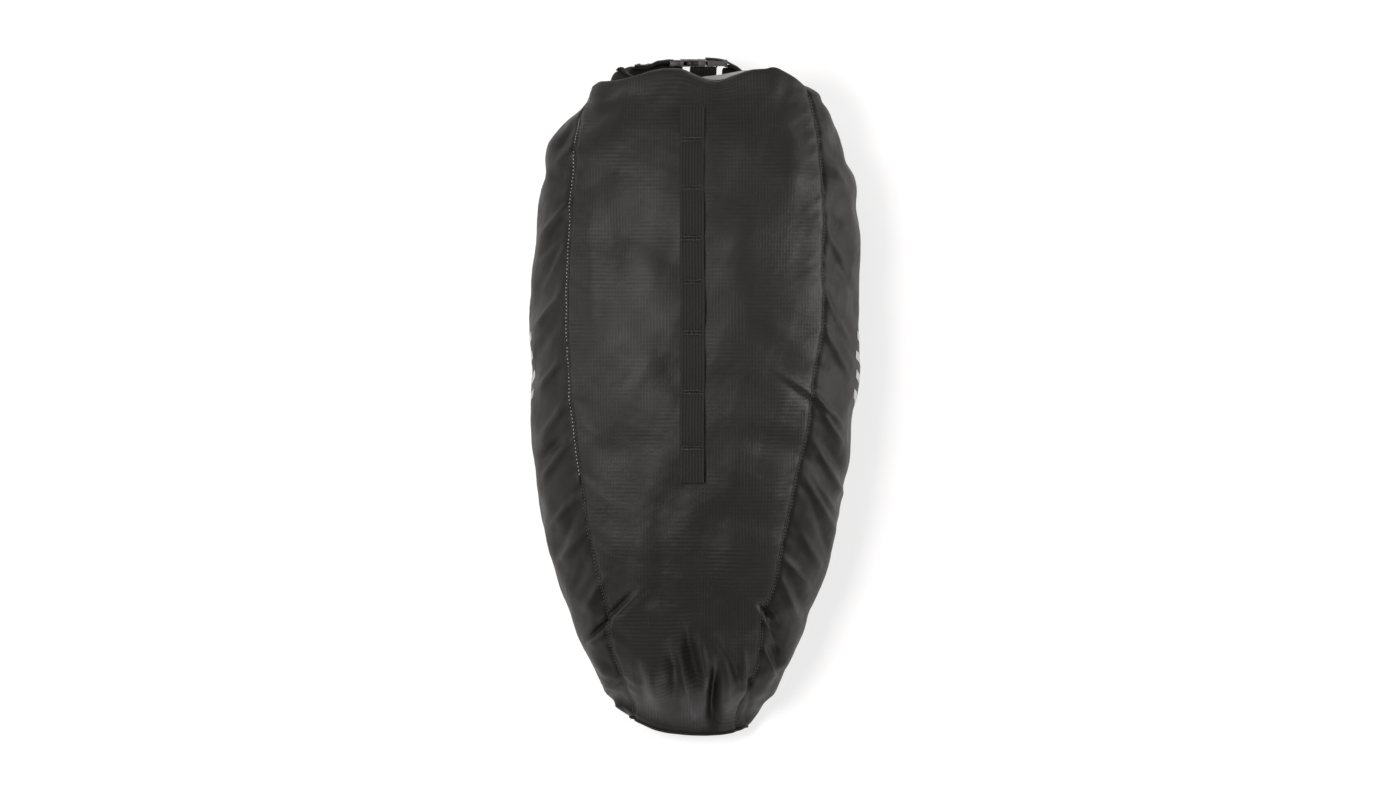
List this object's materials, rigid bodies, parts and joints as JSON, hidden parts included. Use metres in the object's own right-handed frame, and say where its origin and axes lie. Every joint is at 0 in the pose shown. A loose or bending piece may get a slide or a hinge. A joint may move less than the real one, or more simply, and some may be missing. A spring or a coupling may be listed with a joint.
{
  "type": "saddle bag",
  "caption": "Roll-top bikepacking saddle bag: tapered dry-bag body, daisy chain webbing, rolled mouth closed into a ring by a side-release buckle.",
  "frame": {"origin": "centre of the overall box in plan, on the flat the bag's back panel rests on", "axes": "+Z up out of the daisy chain side, +Y towards the roll-top mouth, +X to the right seen from above with +Y up"},
  "size_m": [0.2738, 0.5648, 0.1538],
  "materials": {
    "ripstop_fabric": "matte",
    "coated_nylon": "satin",
    "seam_tape": "matte",
    "reflective_ink": "satin",
    "webbing": "matte",
    "thread": "matte",
    "buckle_plastic": "satin",
    "stiffener": "matte"
  },
  "bodies": {
    "bag": {"front_panel": "ripstop_fabric", "back_panel": "ripstop_fabric", "left_side_panel": "coated_nylon", "right_side_panel": "coated_nylon", "nose_panel": "coated_nylon", "neck_collar": "ripstop_fabric", "seam_tape_front_left": "seam_tape", "seam_tape_front_right": "seam_tape", "seam_tape_back_left": "seam_tape", "seam_tape_back_right": "seam_tape", "nose_seam_binding": "seam_tape", "reflective_bar_left_1": "reflective_ink", "reflective_bar_left_2": "reflective_ink", "reflective_bar_left_3": "reflective_ink", "reflective_bar_left_4": "reflective_ink", "reflective_bar_right_1": "reflective_ink", "reflective_bar_right_2": "reflective_ink", "reflective_bar_right_3": "reflective_ink", "reflective_bar_right_4": "reflective_ink", "daisy_chain": "webbing", "daisy_bartack_1": "thread", "daisy_bartack_2": "thread", "daisy_bartack_3": "thread", "daisy_bartack_4": "thread", "daisy_bartack_5": "thread", "daisy_bartack_6": "thread", "daisy_bartack_7": "thread"},
    "closure": {"rolled_mouth": "coated_nylon", "mouth_stiffener": "stiffener", "buckle_tab": "webbing", "tab_bartack_1": "thread", "tab_bartack_2": "thread", "adjuster_strap": "webbing", "strap_bartack_1": "thread", "strap_bartack_2": "thread", "buckle_socket": "buckle_plastic"},
    "plug": {"buckle_plug": "buckle_plastic"},
    "prong_front": {"prong_front": "buckle_plastic"},
    "prong_rear": {"prong_rear": "buckle_plastic"},
    "tail": {"strap_tail": "webbing"}
  },
  "joints": [
    {"name": "closure_tilt", "type": "hinge", "parent": "bag", "child": "closure", "pos_m": [0, 0.244, 0.107], "axis": [1, 0, 0], "range_deg": [0, 45]},
    {"name": "buckle_release", "type": "slide", "parent": "closure", "child": "plug", "axis": [1, 0, 0], "range_m": [0, 0.019], "deforming": ["adjuster_strap"]},
    {"name": "prong_front_squeeze", "type": "hinge", "parent": "plug", "child": "prong_front", "pos_m": [0.0118, 0.27693, 0.05838], "axis": [0, -0.9972, -0.075], "range_deg": [0, 7], "stiffness_Nm_per_rad": 0.2},
    {"name": "prong_rear_squeeze", "type": "hinge", "parent": "plug", "child": "prong_rear", "pos_m": [0.0118, 0.27828, 0.04043], "axis": [0, 0.9972, 0.075], "range_deg": [0, 7], "stiffness_Nm_per_rad": 0.2},
    {"name": "tail_swing", "type": "hinge", "parent": "plug", "child": "tail", "pos_m": [0.0055, 0.27212, 0.049], "axis": [1, 0, 0], "range_deg": [0, 26]}
  ],
  "couplings": [
    {"joint": "prong_rear_squeeze", "follows": "prong_front_squeeze", "ratio": 1}
  ]
}
